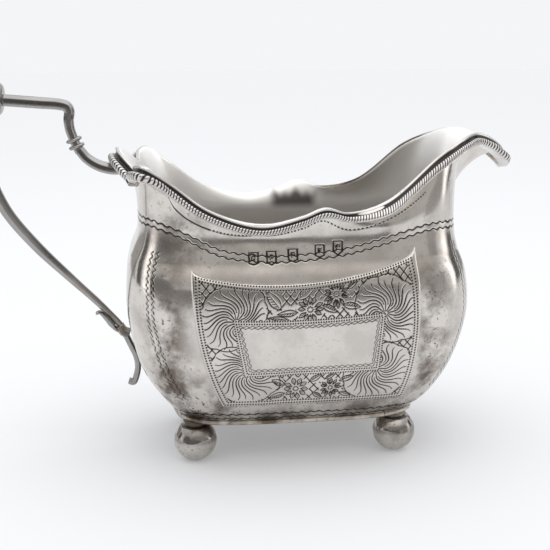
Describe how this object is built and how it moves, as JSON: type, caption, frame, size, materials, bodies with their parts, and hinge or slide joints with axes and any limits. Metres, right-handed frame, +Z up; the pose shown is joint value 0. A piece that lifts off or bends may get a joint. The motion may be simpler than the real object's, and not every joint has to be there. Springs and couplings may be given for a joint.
{
  "type": "footed silver cream jug",
  "caption": "Oblong silver cream jug with gadrooned rim, pouring lip, engraved side panels, high-shouldered handle and ball feet.",
  "frame": {"origin": "under the middle of the whole jug, on the plane its feet rest on", "axes": "+X towards the pouring lip, handle on -X, +Z up; the jug is mirrored across the XZ plane"},
  "size_m": [0.1618, 0.0656, 0.1121],
  "materials": {
    "body_silver": "aged polished silver sheet with soft tarnish",
    "border_silver": "bright cast silver, dark in the hollows",
    "feet_silver": "polished silver, tarnished near the joints",
    "handle_silver": "polished silver strap, darker on its faces",
    "tarnished_silver": "silver with brown-grey tarnish"
  },
  "bodies": {
    "root": {"body_wall": "body_silver", "base_plate": "tarnished_silver", "rim_border_left": "border_silver", "rim_border_right": "border_silver", "rim_border_back": "border_silver", "foot_ball_front_left": "feet_silver", "foot_ball_front_right": "feet_silver", "foot_ball_back_left": "feet_silver", "foot_ball_back_right": "feet_silver", "foot_collar_front_left": "tarnished_silver", "foot_collar_front_right": "tarnished_silver", "foot_collar_back_left": "tarnished_silver", "foot_collar_back_right": "tarnished_silver", "handle_root": "handle_silver", "handle_ring_lower": "handle_silver", "handle_ring_upper": "handle_silver", "handle_riser": "handle_silver", "handle_top_bar": "handle_silver", "handle_bead": "handle_silver", "handle_sweep": "handle_silver", "handle_leaf": "handle_silver", "handle_pad": "tarnished_silver", "handle_tail": "handle_silver"}
  },
  "joints": []
}
